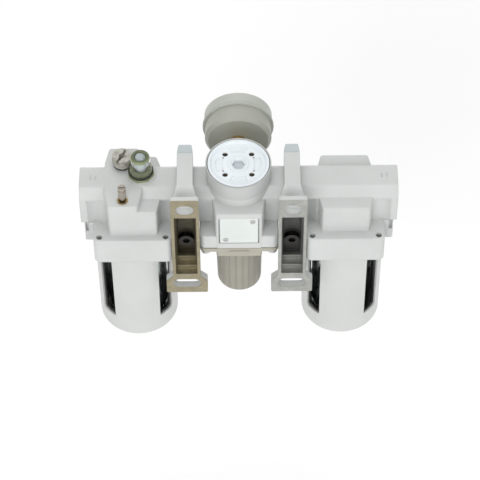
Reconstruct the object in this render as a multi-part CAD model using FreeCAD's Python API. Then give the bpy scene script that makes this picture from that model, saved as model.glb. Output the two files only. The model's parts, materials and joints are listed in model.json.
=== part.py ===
import FreeCAD, Part
import math
import os

from FreeCAD import Vector

# Filter, regulator and lubricator joined in a row and held on a wall by two clamp brackets.
# Millimetres. X runs along the air line (inlet end at -X), +Y points to the wall, +Z is up.
# Everything is modelled about the point where the regulator's axis meets the port axis,
# and moved on saving so that the origin lies between the upper wall slots, on the wall plane.

# Driving dimensions: the row of modules
PITCH = 57.5                # between neighbouring module axes
MODULE_WIDTH = 56.0
FILTER_X = -PITCH
LUBRICATOR_X = PITCH
PORT_TOP = 14.4             # half height of the port block
PORT_FLAT = 6.6             # half depth of its flat top
PORT_DEPTH = 11.5           # half depth of the port block
PORT_EDGE = PORT_TOP - (PORT_DEPTH - PORT_FLAT)
PORT_RADIUS = 8.4           # thread bore
PORT_LENGTH = 11.0
PASSAGE_RADIUS = 6.0
SKIRT_BOTTOM = -24.5
SKIRT_INSET = 1.8           # from the outer end
CLAMP_CLEARANCE = 6.5       # from the end that a clamp reaches round

# Square collar over each bowl
COLLAR_HALF = 21.3
COLLAR_DEPTH = 24.6
COLLAR_TOP = -9.9
COLLAR_BOTTOM = -27.9
COLLAR_HOLE_X = 17.9
COLLAR_HOLE_Y = 21.6
COLLAR_HOLE_RADIUS = 1.6
TOWER_HALF = 12.7
TOWER_SPREAD = 2.1          # wider beside the port block than at its ends
TOWER_DEPTH = 18.9
TALL_TOWER_DEPTH = 20.7     # the lubricator's
SCOOP_RADIUS = 6.2          # hollows each side of the tower
SCOOP_X = 20.0
SCOOP_Y = 16.0

# Bowls and bowl guards
GUARD_RADIUS = 22.2
GUARD_BOTTOM = -98.5
GUARD_TAPER = 0.2
GUARD_WALL = 1.9
NECK_RADIUS = 18.2
NECK_TOP = COLLAR_BOTTOM + 9.0
LUG_RADIUS = 19.4
LUG_GROOVE_LOW = COLLAR_BOTTOM + 3.2
LUG_GROOVE_HIGH = COLLAR_BOTTOM + 7.4
BOWL_RADIUS = 16.6
BOWL_WALL = 1.8
BOWL_TOP = COLLAR_BOTTOM + 16.0
WINDOW_TOP = COLLAR_BOTTOM - 3.4
WINDOW_BOTTOM = -85.6
WINDOW_HALF_WIDTH = 4.8
WINDOW_ANGLE = 42.3         # from the row's axis

# Regulator
CUP_RADIUS = 17.6
CUP_TOP = 25.5
CAP_RADIUS = 16.5
CAP_GAP = 0.4
CAP_DISH = 1.2
BLOCK_HALF = 12.4
BLOCK_DEPTH = 22.5
BLOCK_TOP = 9.0
FLANGE_DEPTH = 22.1
FLANGE_TOP = COLLAR_TOP
FLANGE_BOTTOM = -19.3
FLANGE_SCREW_X = 18.0
FLANGE_SCREW_Y = 18.8
SPRING_TOP = FLANGE_BOTTOM - 2.9
BONNET_EDGE = 3.5
BONNET_BOTTOM = -27.4
KNOB_TOP = -28.1
KNOB_BOTTOM = -71.5
KNOB_RADIUS = 13.0
KNOB_TAPER = 0.8
KNOB_FLUTES = 20

# Nameplate fixings, as (x, z)
PIN_PLACES = ((-7.4, 2.9), (7.2, -12.2))

# Pressure gauge, facing -Y
GAUGE_RADIUS = 18.4
GAUGE_RING_RADIUS = 18.8
GAUGE_FLANGE_RADIUS = 19.7
GAUGE_RIM_RADIUS = 17.9
GAUGE_BACK = -37.6
GAUGE_SEAM = -48.0
GAUGE_FRONT = -56.0

# Clamps and wall brackets
WALL_Y = 26.0
ARM_HALF = 4.3
ARM_TOP = 21.2
ARM_DEPTH = 11.1
WEB_TOP = 14.8
BRACKET_TOP = 25.4
BRACKET_BOTTOM = -53.6
BRACKET_HALF = 7.6
FOOT_HALF = 11.3
FOOT_TOP = -39.5
PLATE = 3.0
CHANNEL_TOP = 11.0
CHANNEL_HALF = 6.0
FOOT_THICKNESS = 4.2
CHANNEL_FLOOR = 14.0
CHANNEL_OUTER = 7.1
UPPER_SLOT_Z = 17.4
LOWER_SLOT_Z = -45.6
UPPER_SLOT_LENGTH = 9.6
LOWER_SLOT_LENGTH = 15.2
SLOT_WIDTH = 7.2
CLAMP_X = PITCH / 2
CLAMP_SCREW_Z = -19.5
CLAMP_FRONT_Y = -19.0
CLAMP_BOTTOM = -25.5

# Lubricator fittings, from its own axis
DOME = (-5.1, -2.6)
PLUG = (5.0, -9.2)
NEEDLE = (4.4, 16.1)
PLUG_THREAD = 4.0
NEEDLE_BUSH = 2.8
NEEDLE_SEAT = PORT_TOP
DOME_TOP = 28.4

UP = Vector(0, 0, 1)
BACK = Vector(0, 1, 0)
RIGHT = Vector(1, 0, 0)


def box(x0, x1, y0, y1, z0, z1):
    return Part.makeBox(x1 - x0, y1 - y0, z1 - z0, Vector(x0, y0, z0))


def rod(radius, z0, z1, x=0, y=0):
    return Part.makeCylinder(radius, z1 - z0, Vector(x, y, z0), UP)


def rod_x(radius, x0, x1, y=0, z=0):
    return Part.makeCylinder(radius, x1 - x0, Vector(x0, y, z), RIGHT)


def rod_y(radius, y0, y1, x=0, z=0):
    return Part.makeCylinder(radius, y1 - y0, Vector(x, y0, z), BACK)


def tube(outer, inner, z0, z1, x=0, y=0):
    return rod(outer, z0, z1, x, y).cut(rod(inner, z0 - 1, z1 + 1, x, y))


def tube_y(outer, inner, y0, y1, x=0, z=0):
    return rod_y(outer, y0, y1, x, z).cut(rod_y(inner, y0 - 1, y1 + 1, x, z))


def cone(r0, r1, z0, z1, x=0, y=0):
    return Part.makeCone(r0, r1, z1 - z0, Vector(x, y, z0), UP)


def ring(radius, wire, z, x=0, y=0):
    return Part.makeTorus(radius, wire, Vector(x, y, z), UP)


def prism_x(points, x0, x1):
    """A prism along X from its (y, z) outline."""
    corners = [Vector(x0, y, z) for y, z in points]
    face = Part.Face(Part.makePolygon(corners + corners[:1]))
    return face.extrude(Vector(x1 - x0, 0, 0))


def prism_y(points, y0, y1):
    """A prism along Y from its (x, z) outline."""
    corners = [Vector(x, y0, z) for x, z in points]
    face = Part.Face(Part.makePolygon(corners + corners[:1]))
    return face.extrude(Vector(0, y1 - y0, 0))


def prism_z(points, z0, z1):
    """A prism along Z from its (x, y) outline."""
    corners = [Vector(x, y, z0) for x, y in points]
    face = Part.Face(Part.makePolygon(corners + corners[:1]))
    return face.extrude(Vector(0, 0, z1 - z0))


def hexagon(across_flats, z0, z1, x=0, y=0):
    radius = across_flats / math.sqrt(3)
    points = []
    for k in range(6):
        a = math.radians(60 * k)
        points.append((x + radius * math.cos(a), y + radius * math.sin(a)))
    return prism_z(points, z0, z1)


def turned(shape, degrees, x=0, y=0):
    copy = shape.copy()
    copy.rotate(Vector(x, y, 0), UP, degrees)
    return copy


def moved(shape, x=0, y=0, z=0):
    copy = shape.copy()
    copy.translate(Vector(x, y, z))
    return copy


def fuse(shapes):
    return shapes[0].multiFuse(shapes[1:]).removeSplitter()


def cut(shape, tools):
    return shape.cut(tools)


def edges_along(shape, axis):
    """Straight edges that run along X (0), Y (1) or Z (2)."""
    found = []
    for edge in shape.Edges:
        run = edge.Vertexes[-1].Point - edge.Vertexes[0].Point
        if run.Length > 1e-6 and abs(abs(run[axis]) - run.Length) < 1e-6:
            found.append(edge)
    return found


def rounded_box(half_x, half_y, z0, z1, radius):
    block = box(-half_x, half_x, -half_y, half_y, z0, z1)
    return block.makeFillet(radius, edges_along(block, 2))


def slot_y(length, width, y0, y1, x, z):
    """A round-ended slot through Y, long along X."""
    reach = length / 2 - width / 2
    ends = [rod_y(width / 2, y0, y1, x + side * reach, z) for side in (-1, 1)]
    return fuse(ends + [box(x - reach, x + reach, y0, y1, z - width / 2, z + width / 2)])


def coil_spring(radius, wire, z0, z1, turns, x=0, y=0):
    """A round-wire compression spring standing between two seats."""
    height = z1 - z0 - 2 * wire
    helix = Part.makeHelix(height / turns, height, radius)
    start = Vector(radius, 0, 0)
    circle = Part.Wire(Part.makeCircle(wire, start, Vector(0, 1, 0)))
    body = Part.Wire(helix).makePipeShell([circle], True, True)
    return moved(body, x, y, z0 + wire)


def save(node, shape):
    """Write one sub-part, moved so that the origin lies on the wall between the upper slots."""
    placed = moved(shape, 0, -WALL_Y, -UPPER_SLOT_Z)
    solids = placed.Solids
    if len(solids) == 1:
        placed = solids[0]
    placed.exportStep(f"parts/{node}.step")
    print(f"{node:28s} solids {len(solids)} valid {placed.isValid()} volume {placed.Volume:.0f}")


def port_block():
    """The eight-sided casting that carries the air line through a module."""
    half = MODULE_WIDTH / 2
    outline = [
        (PORT_FLAT, PORT_TOP), (PORT_DEPTH, PORT_EDGE), (PORT_DEPTH, -PORT_EDGE),
        (PORT_FLAT, -PORT_TOP), (-PORT_FLAT, -PORT_TOP), (-PORT_DEPTH, -PORT_EDGE),
        (-PORT_DEPTH, PORT_EDGE), (-PORT_FLAT, PORT_TOP),
    ]
    block = prism_x(outline, -half, half)
    return block.makeFillet(1.0, edges_along(block, 0))


def tower(rear, middle, front, top):
    """A block standing on the collar, widest beside the port block, with rounded corners and rims.

    rear and front are (left, right, distance from the axis); middle is (left, right).
    """
    block = prism_z(
        [(rear[0], rear[2]), (middle[0], PORT_DEPTH - 1), (middle[0], 1 - PORT_DEPTH), (front[0], -front[2]),
         (front[1], -front[2]), (middle[1], 1 - PORT_DEPTH), (middle[1], PORT_DEPTH - 1), (rear[1], rear[2])],
        COLLAR_TOP - 1, top,
    )
    ends = (rear[2], front[2])
    block = block.makeFillet(1.6, [e for e in edges_along(block, 2) if abs(e.CenterOfMass.y) > min(ends) - 0.1])
    rims = [e for e in block.Edges if abs(e.CenterOfMass.z - top) < 1e-6]
    return block.makeFillet(0.7, rims)


def bowl_head(outer_side, towers):
    """Outer casting of a filter or lubricator: port block, towers, skirt and square collar."""
    half = MODULE_WIDTH / 2
    skirt_ends = sorted([outer_side * (half - SKIRT_INSET), -outer_side * (half - CLAMP_CLEARANCE)])
    skirt = box(skirt_ends[0], skirt_ends[1], -PORT_DEPTH, PORT_DEPTH, SKIRT_BOTTOM, -PORT_EDGE)
    collar = rounded_box(COLLAR_HALF, COLLAR_DEPTH, COLLAR_BOTTOM, COLLAR_TOP, 3.5)
    rims = [e for e in collar.Edges if abs(e.CenterOfMass.z - COLLAR_TOP) < 1e-6]
    collar = collar.makeFillet(0.8, rims)
    head = fuse([port_block(), skirt, collar] + towers)
    hollows = []
    for side in (-1, 1):
        for face in (-1, 1):
            x = side * SCOOP_X
            hollows.append(rod(SCOOP_RADIUS, COLLAR_TOP, PORT_EDGE - 1.2, x, face * SCOOP_Y))
            hollows.append(rod(COLLAR_HOLE_RADIUS, COLLAR_TOP - 9, COLLAR_TOP + 1,
                               side * COLLAR_HOLE_X, face * COLLAR_HOLE_Y))
    slot_x = sorted([outer_side * (half - 4.0), outer_side * (half - 2.4)])
    for face in (-1, 1):
        slot_y0, slot_y1 = sorted([face * (PORT_DEPTH - 1.6), face * (PORT_DEPTH + 1)])
        hollows.append(box(slot_x[0], slot_x[1], slot_y0, slot_y1, -PORT_EDGE - 7.5, -PORT_EDGE - 0.2))
    return cut(head, hollows)


def bowl_socket():
    """Space in the collar for the bowl neck, with the bayonet groove and its entry slots."""
    reach = LUG_RADIUS + 0.25
    entry = box(-reach, reach, -3.4, 3.4, COLLAR_BOTTOM - 1, LUG_GROOVE_LOW + 0.3)
    entry = entry.common(rod(reach, COLLAR_BOTTOM - 2, LUG_GROOVE_LOW + 1))
    return fuse([
        rod(NECK_RADIUS + 0.25, COLLAR_BOTTOM - 1, NECK_TOP + 0.5),
        rod(BOWL_RADIUS + 0.45, NECK_TOP, BOWL_TOP + 0.6),
        rod(reach, LUG_GROOVE_LOW, LUG_GROOVE_HIGH),
        turned(entry, 45),
    ])


def lock_notch():
    """Groove in the front of the collar that the lock button's tongue runs in."""
    ring_groove = tube(GUARD_RADIUS + 0.6, 20.0, COLLAR_BOTTOM - 1, COLLAR_BOTTOM + 3.2)
    return ring_groove.common(box(-19, 19, -30, -8, COLLAR_BOTTOM - 1, COLLAR_BOTTOM + 4))


def thread_port(side):
    """Bore of the threaded port at one end of the row."""
    half = MODULE_WIDTH / 2
    if side < 0:
        return [rod_x(PORT_RADIUS, -half - 1, -half + PORT_LENGTH)]
    return [rod_x(PORT_RADIUS, half - PORT_LENGTH, half + 1)]


def filter_body():
    half = MODULE_WIDTH / 2
    annulus = rod(12.5, BOWL_TOP, 7).cut(rod(8.5, BOWL_TOP - 1, 8))
    annulus = annulus.cut(rod_x(7.6, 0, 14))
    tools = [
        bowl_socket(), annulus,
        rod_x(PASSAGE_RADIUS, -half - 1, -10),
        rod_x(PASSAGE_RADIUS, 0, half + 1),
        rod(5, -30, 0),
        lock_notch(),
    ]
    boss = rod(8.5, -19.5, -10)
    end = (-TOWER_HALF, TOWER_HALF, TOWER_DEPTH)
    humps = [tower(end, (-TOWER_HALF - TOWER_SPREAD, TOWER_HALF + TOWER_SPREAD), end, PORT_EDGE)]
    head = cut(bowl_head(-1, humps), tools + thread_port(-1))
    boss = boss.cut(rod(5, -30, 0))
    head = fuse([head, boss])
    return moved(head, FILTER_X)


def lubricator_body():
    half = MODULE_WIDTH / 2
    dome_x, dome_y = DOME
    plug_x, plug_y = PLUG
    needle_x, needle_y = NEEDLE
    tall = tower((-3.4, 12.1, TALL_TOWER_DEPTH), (-5.8, 14.6), (-3.4, 12.4, TALL_TOWER_DEPTH), PORT_TOP)
    low = tower((-13.4, 3, TALL_TOWER_DEPTH - 0.1), (-15.7, 3), (-12.9, 3, TOWER_DEPTH), PORT_EDGE)
    pad = rod(8.2, 0, PORT_TOP + 0.4, dome_x, dome_y)
    head = bowl_head(1, [tall, low, pad])
    tools = [
        bowl_socket(),
        rod_x(PASSAGE_RADIUS, -half - 1, half + 1),
        rod(3.0, -12, -5, 0, 0),
        rod(14.0, -16, -11.0),
        lock_notch(),
        rod(5.0, 8.5, PORT_TOP + 1, dome_x, dome_y),
        rod(1.2, 4, 9, dome_x, dome_y),
        rod(PLUG_THREAD + 0.08, 4.6, PORT_TOP + 1, plug_x, plug_y),
        rod(2.3, -18, 5.0, plug_x, plug_y),
        rod(NEEDLE_BUSH, PORT_TOP - 5, PORT_TOP + 1, needle_x, needle_y),
        rod(1.2, PORT_TOP - 7, PORT_TOP - 4, needle_x, needle_y),
    ]
    head = cut(head, tools + thread_port(1))
    return moved(head, LUBRICATOR_X)


def regulator_body():
    half = MODULE_WIDTH / 2
    cup = fuse([cone(16.7, CUP_RADIUS, BLOCK_TOP - 2, 18), rod(CUP_RADIUS, 18, CUP_TOP)])
    spread = BLOCK_HALF + 1.7
    block = prism_z(
        [(-BLOCK_HALF, BLOCK_DEPTH), (-spread, PORT_DEPTH), (-spread, -PORT_DEPTH), (-BLOCK_HALF, -20.0),
         (BLOCK_HALF, -20.0), (spread, -PORT_DEPTH), (spread, PORT_DEPTH), (BLOCK_HALF, BLOCK_DEPTH)],
        FLANGE_BOTTOM, BLOCK_TOP,
    )
    corners = [e for e in edges_along(block, 2) if abs(e.CenterOfMass.y) > PORT_DEPTH + 1]
    block = block.makeFillet(1.4, corners)
    rims = [e for e in block.Edges if abs(e.CenterOfMass.z - BLOCK_TOP) < 1e-6]
    block = block.makeFillet(1.0, rims)
    flange = rounded_box(COLLAR_HALF, FLANGE_DEPTH, FLANGE_BOTTOM, FLANGE_TOP, 3.0)
    rims = [e for e in flange.Edges if abs(e.CenterOfMass.z - FLANGE_TOP) < 1e-6]
    flange = flange.makeFillet(0.8, rims)
    body = fuse([port_block(), cup, block, flange, rod_y(8.5, -22.5, 0)])
    ceiling = FLANGE_BOTTOM + 6.7
    tools = [
        box(-10.9, 10.9, BLOCK_DEPTH - 1.4, BLOCK_DEPTH + 1, -15.15, 5.85),
        rod(CAP_RADIUS + CAP_GAP, 21.5, CUP_TOP + 1),
        rod(14.5, 19.0, 22),
        rod(11.5, 3, 19.5),
        rod(4.5, -1, 4),
        rod(6.5, -9, 0),
        rod_x(PASSAGE_RADIUS, -half - 1, -13),
        rod(4.4, -4, 6, -12.6),
        rod_x(PASSAGE_RADIUS, 13, half + 1),
        rod(4.4, -8.6, 2, 12.6),
        rod_x(3.0, 0, 13, 0, -5.6),
        rod(2.2, -14, -8),
        rod(12.0, FLANGE_BOTTOM - 1, ceiling),
        rod_y(4.2, -23, -12),
        rod_y(1.5, -13, -6, 0, 0),
    ]
    for sx in (-1, 1):
        for sy in (-1, 1):
            x, y = sx * FLANGE_SCREW_X, sy * FLANGE_SCREW_Y
            tools.append(rod(1.5, FLANGE_BOTTOM - 1, FLANGE_BOTTOM + 6, x, y))
    return cut(body, tools)


def bracket():
    """Rear half of a clamp with its wall channel, centred on X."""
    arm = box(-ARM_HALF, ARM_HALF, -ARM_DEPTH, ARM_DEPTH, 15.2, ARM_TOP)
    slope = ARM_TOP - WEB_TOP
    web = prism_x(
        [(ARM_DEPTH, ARM_TOP), (ARM_DEPTH + slope, WEB_TOP), (WALL_Y - PLATE, WEB_TOP), (WALL_Y - PLATE, 4),
         (ARM_DEPTH + 1.2, 4), (ARM_DEPTH + 1.2, 15.2), (ARM_DEPTH, 15.2)],
        -CHANNEL_OUTER, CHANNEL_OUTER,
    )
    flare = prism_z(
        [(-ARM_HALF, ARM_DEPTH), (ARM_HALF, ARM_DEPTH), (CHANNEL_OUTER, ARM_DEPTH + slope),
         (CHANNEL_OUTER, WALL_Y), (-CHANNEL_OUTER, WALL_Y), (-CHANNEL_OUTER, ARM_DEPTH + slope)],
        0, 30,
    )
    plate = box(-BRACKET_HALF, BRACKET_HALF, WALL_Y - PLATE, WALL_Y, FOOT_TOP, BRACKET_TOP)
    plate = plate.makeFillet(1.4, [e for e in edges_along(plate, 1) if e.CenterOfMass.z > 0])
    channel = box(-CHANNEL_OUTER, CHANNEL_OUTER, CHANNEL_FLOOR - 1.6, WALL_Y, FOOT_TOP, CHANNEL_TOP + 2.5)
    channel = channel.makeFillet(1.2, [e for e in edges_along(channel, 2) if e.CenterOfMass.y < WALL_Y - 1])
    foot = prism_y(
        [(-FOOT_HALF, BRACKET_BOTTOM), (FOOT_HALF, BRACKET_BOTTOM), (FOOT_HALF, FOOT_TOP - 3.6),
         (BRACKET_HALF, FOOT_TOP), (-BRACKET_HALF, FOOT_TOP), (-FOOT_HALF, FOOT_TOP - 3.6)],
        WALL_Y - FOOT_THICKNESS, WALL_Y,
    )
    foot = foot.makeFillet(1.0, edges_along(foot, 1))
    body = fuse([arm, web.common(flare), plate, channel, foot])
    hollow_outline = [
        (-CHANNEL_HALF + 1.6, CHANNEL_FLOOR), (CHANNEL_HALF - 1.6, CHANNEL_FLOOR),
        (CHANNEL_HALF, WALL_Y + 1), (-CHANNEL_HALF, WALL_Y + 1),
    ]
    hollow = prism_z(hollow_outline, FOOT_TOP + 2.2, CHANNEL_TOP)
    steps = [
        box(-8, 8, 0, WALL_Y - 8, FOOT_TOP, FOOT_TOP + 8),
        box(-8, 8, 0, WALL_Y - 4, FOOT_TOP, FOOT_TOP + 5),
    ]
    tools = [
        cut(hollow, steps),
        slot_y(UPPER_SLOT_LENGTH, SLOT_WIDTH, WALL_Y - PLATE - 1, WALL_Y + 1, 0, UPPER_SLOT_Z),
        slot_y(LOWER_SLOT_LENGTH, SLOT_WIDTH, WALL_Y - 12, WALL_Y + 1, 0, LOWER_SLOT_Z),
        rod_y(2.6, ARM_DEPTH, CHANNEL_FLOOR + 1, 0, CLAMP_SCREW_Z),
    ]
    return cut(body, tools)


def clamp_front():
    """Front half of a clamp: meets the arm at the top and takes the screw at the bottom."""
    back = -ARM_DEPTH - 0.1
    clear = -PORT_DEPTH - 0.5
    cap = prism_x(
        [(back, ARM_TOP - 0.4), (CLAMP_FRONT_Y + 2.0, ARM_TOP - 0.4), (CLAMP_FRONT_Y, ARM_TOP - 2.4),
         (CLAMP_FRONT_Y, CLAMP_BOTTOM + 4), (CLAMP_FRONT_Y + 3, CLAMP_BOTTOM),
         (clear, CLAMP_BOTTOM), (clear, 15.0), (back, 15.0)],
        -4.2, 4.2,
    )
    plan = prism_z(
        [(-4.2, clear), (-4.2, back), (4.2, back), (4.2, clear), (3.9, -14.5), (3.0, CLAMP_FRONT_Y),
         (-3.0, CLAMP_FRONT_Y), (-3.9, -14.5)],
        CLAMP_BOTTOM, ARM_TOP,
    )
    plan = plan.makeFillet(1.6, [e for e in edges_along(plan, 2) if e.CenterOfMass.y < CLAMP_FRONT_Y + 0.5])
    cap = cap.common(plan)
    foot = box(-3.9, 3.9, clear - 1, PORT_DEPTH + 0.1, CLAMP_BOTTOM, -15.2)
    return cut(fuse([cap, foot]), [rod_y(2.05, -8, PORT_DEPTH + 1, 0, CLAMP_SCREW_Z)])


def clamp_screw():
    head = rod_y(4.2, CHANNEL_FLOOR, CHANNEL_FLOOR + 3.0, 0, CLAMP_SCREW_Z)
    socket = hexagon(3.6, 0, 2.4)
    socket.rotate(Vector(0, 0, 0), RIGHT, 90)
    socket = moved(socket, 0, CHANNEL_FLOOR + 3.6, CLAMP_SCREW_Z)
    shank = rod_y(2.0, -7.5, CHANNEL_FLOOR, 0, CLAMP_SCREW_Z)
    return cut(fuse([head, shank]), [socket])


def joint_seal():
    """Flat seal in the gap between two modules."""
    half = (PITCH - MODULE_WIDTH) / 2
    ring_plate = rod_x(10.2, -half, half)
    return ring_plate.cut(rod_x(PASSAGE_RADIUS, -half - 1, half + 1))


def valve_guide_cap():
    """Round plug in the top of the regulator: dished face with spanner holes, and a valve guide below."""
    face = CUP_TOP - CAP_DISH
    disc = rod(CAP_RADIUS, 21.6, CUP_TOP)
    neck = rod(14.3, 20.0, 22)
    guide = rod(5.6, 11.5, 20.2)
    cap = fuse([disc, neck, guide])
    dish = cone(14.6, 15.2, face, CUP_TOP + 0.01)
    tools = [dish, rod(2.08, 11, 20.5), hexagon(6.2, face - 2.0, CUP_TOP + 1)]
    for sx in (-1, 1):
        for sy in (-1, 1):
            tools.append(rod(1.5, face - 2.4, CUP_TOP + 1, sx * 7.1, sy * 7.1))
    for k in range(4):
        sector = tube(12.4, 8.6, face - 0.5, CUP_TOP + 1)
        wedge = prism_z([(0, 0), (30, 13), (30, -13)], face - 1, CUP_TOP + 1)
        tools.append(sector.common(turned(wedge, 90 * k)))
    cap = cut(cap, tools)
    collar = tube(5.4, 4.2, face - 0.1, face + 0.5)
    return fuse([cap, collar])


def nameplate():
    plate = box(-10.2, 10.2, BLOCK_DEPTH - 1.38, BLOCK_DEPTH - 0.3, -14.9, 5.6)
    return cut(plate, [rod_y(0.8, BLOCK_DEPTH - 2, BLOCK_DEPTH + 1, x, z) for x, z in PIN_PLACES])


def nameplate_pins():
    pins = []
    for x, z in PIN_PLACES:
        head = rod_y(1.3, BLOCK_DEPTH - 0.3, BLOCK_DEPTH + 0.25, x, z)
        bars = [box(x - 1, x + 1, BLOCK_DEPTH - 0.05, BLOCK_DEPTH + 1, z - 0.22, z + 0.22),
                box(x - 0.22, x + 0.22, BLOCK_DEPTH - 0.05, BLOCK_DEPTH + 1, z - 1, z + 1)]
        pins.append(cut(head, bars).fuse(rod_y(0.75, BLOCK_DEPTH - 1.3, BLOCK_DEPTH - 0.3, x, z)))
    return Part.makeCompound(pins)


def bonnet():
    low = FLANGE_BOTTOM - BONNET_EDGE
    flange = rounded_box(COLLAR_HALF, FLANGE_DEPTH, low, FLANGE_BOTTOM - 0.8, 3.0)
    holes = []
    for sx in (-1, 1):
        for sy in (-1, 1):
            holes.append(rod(1.65, low - 5, FLANGE_BOTTOM, sx * FLANGE_SCREW_X, sy * FLANGE_SCREW_Y))
    flange = cut(flange, holes)
    block = rounded_box(BLOCK_HALF, FLANGE_DEPTH - 0.6, BONNET_BOTTOM, FLANGE_BOTTOM - 1, 1.5)
    rib = box(-5.2, 5.2, FLANGE_DEPTH - 3, FLANGE_DEPTH + 0.5, low - 1.0, low + 0.8)
    skirt = rod(9.0, -60, BONNET_BOTTOM + 1)
    shell = fuse([flange, block, rib, skirt])
    groove = tube(10, 8.4, -37.6, -35.8)
    bores = [rod(7.9, -58, FLANGE_BOTTOM + 2), rod(9.8, FLANGE_BOTTOM - 2.5, FLANGE_BOTTOM + 1), rod(2.6, -61, -57)]
    return cut(shell, bores + [groove])


def bonnet_screws():
    screws = []
    seat = FLANGE_BOTTOM - BONNET_EDGE
    for sx in (-1, 1):
        for sy in (-1, 1):
            x, y = sx * FLANGE_SCREW_X, sy * FLANGE_SCREW_Y
            head = rod(2.7, seat - 2.4, seat, x, y)
            head = head.cut(box(x - 3, x + 3, y - 0.4, y + 0.4, seat - 3, seat - 1.6))
            screws.append(head.fuse(rod(1.45, seat, FLANGE_BOTTOM + 5.5, x, y)))
    return Part.makeCompound(screws)


def knob():
    """Fluted adjusting knob, tapering towards its lower end."""
    outer = cone(KNOB_RADIUS - KNOB_TAPER, KNOB_RADIUS, KNOB_BOTTOM, KNOB_TOP)
    bottom = [e for e in outer.Edges if abs(e.CenterOfMass.z - KNOB_BOTTOM) < 0.01 and e.Closed]
    outer = outer.makeFillet(2.2, bottom)
    lean = math.degrees(math.atan2(KNOB_TAPER, KNOB_TOP - KNOB_BOTTOM))
    flutes = []
    for k in range(KNOB_FLUTES):
        a = 2 * math.pi * (k + 0.5) / KNOB_FLUTES
        flute = rod(0.6, KNOB_BOTTOM - 1, KNOB_TOP - 4.0, (KNOB_RADIUS + 0.15) * math.cos(a),
                    (KNOB_RADIUS + 0.15) * math.sin(a))
        flute.rotate(Vector(0, 0, KNOB_TOP), Vector(-math.sin(a), math.cos(a), 0), lean)
        flutes.append(flute)
    inner = rod(9.25, -63.2, KNOB_TOP + 1)
    drive = hexagon(6.1, -69, -63)
    return cut(outer, flutes + [inner, drive])


def adjusting_screw():
    thread = rod(2.5, -66, -36)
    hexagon_end = hexagon(6.0, -68.5, -62.8)
    collar = rod(4.0, -57.9, -56.4)
    return fuse([thread, hexagon_end, collar])


def spring_nut():
    plate = rod(7.7, -52.5, -49.0)
    boss = rod(4.6, -49.0, -46.0)
    return cut(fuse([plate, boss]), [rod(2.56, -60, -40)])


def valve_stem():
    poppet = rod(6.2, 3.2, 6.4)
    lower = rod(1.5, FLANGE_BOTTOM + 5.0, 3.2)
    upper = rod(2.0, 6.4, 16.5)
    return fuse([poppet, lower, upper])


def diaphragm_plates():
    plate = rod(9.2, FLANGE_BOTTOM - 1.7, FLANGE_BOTTOM + 0.7)
    hub = rod(4.0, FLANGE_BOTTOM + 0.7, FLANGE_BOTTOM + 5.0)
    cup = rod(7.2, SPRING_TOP, FLANGE_BOTTOM - 1.7)
    return fuse([plate, hub, cup])


def bowl_guard():
    """Metal guard with four windows, a bayonet neck and a drain opening."""
    shell = cone(GUARD_RADIUS - GUARD_TAPER, GUARD_RADIUS, GUARD_BOTTOM, COLLAR_BOTTOM - 0.3)
    edge = [e for e in shell.Edges if abs(e.CenterOfMass.z - GUARD_BOTTOM) < 0.01 and e.Closed]
    shell = shell.makeFillet(1.6, edge)
    neck = rod(NECK_RADIUS, COLLAR_BOTTOM - 1, NECK_TOP)
    lugs = box(-LUG_RADIUS, LUG_RADIUS, -3.0, 3.0, LUG_GROOVE_LOW + 0.4, LUG_GROOVE_HIGH - 0.6)
    lugs = lugs.common(rod(LUG_RADIUS, COLLAR_BOTTOM, NECK_TOP))
    shell = fuse([shell, neck, lugs])
    tools = [
        rod(GUARD_RADIUS - GUARD_WALL - 0.5, GUARD_BOTTOM + 2.0, COLLAR_BOTTOM - 3.2),
        rod(BOWL_RADIUS + 0.15, COLLAR_BOTTOM - 4, NECK_TOP + 1),
        rod(6.6, GUARD_BOTTOM - 1, GUARD_BOTTOM + 3),
        box(-2.6, 2.6, -23, -19.6, COLLAR_BOTTOM - 9.2, COLLAR_BOTTOM + 1),
    ]
    for angle in (WINDOW_ANGLE, 180 - WINDOW_ANGLE, 180 + WINDOW_ANGLE, -WINDOW_ANGLE):
        window = box(0, 30, -WINDOW_HALF_WIDTH, WINDOW_HALF_WIDTH, WINDOW_BOTTOM, WINDOW_TOP)
        window = window.makeFillet(1.2, [
            e for e in window.Edges
            if abs(abs(e.CenterOfMass.y) - WINDOW_HALF_WIDTH) < 0.01 and abs(e.CenterOfMass.x - 15) < 0.01
        ])
        tools.append(turned(window, angle))
    return cut(shell, tools)


def bowl(spigot):
    """Clear bowl; the filter's has a drain spigot through the guard."""
    outer = fuse([
        rod(BOWL_RADIUS, -90, NECK_TOP - 0.6),
        rod(BOWL_RADIUS - 1.2, NECK_TOP - 0.7, BOWL_TOP),
        cone(9.5, BOWL_RADIUS, -96.4, -90),
    ])
    inner = fuse([rod(BOWL_RADIUS - BOWL_WALL - 1.2, -90, BOWL_TOP + 1), cone(8, 13.6, -94.2, -90)])
    shape = cut(outer, [inner])
    if spigot:
        shape = fuse([shape, rod(6.2, -101, -95)])
        shape = cut(shape, [rod(3.05, -102, -93)])
    return shape


def bowl_seal():
    level = BOWL_TOP - 3.2
    return ring(BOWL_RADIUS - 0.4, 0.8, level).cut(rod(BOWL_RADIUS - 1.2, level - 2, level + 2))


def lock_button():
    """Spring-loaded latch on the front of the guard; its tongue enters the collar groove."""
    pad = box(-2.4, 2.4, -22.6, -20.4, COLLAR_BOTTOM - 6.0, COLLAR_BOTTOM - 0.5)
    tongue = box(-2.0, 2.0, -21.6, -20.4, COLLAR_BOTTOM - 0.6, COLLAR_BOTTOM + 2.4)
    ribs = []
    for k in range(3):
        z = COLLAR_BOTTOM - 5.2 + 1.4 * k
        ribs.append(box(-2.0, 2.0, -23.1, -22.6, z, z + 0.7))
    return fuse([pad, tongue] + ribs)


def lock_spring():
    return coil_spring(0.75, 0.16, COLLAR_BOTTOM - 9.1, COLLAR_BOTTOM - 6.1, 4, 0, -21.4)


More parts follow.
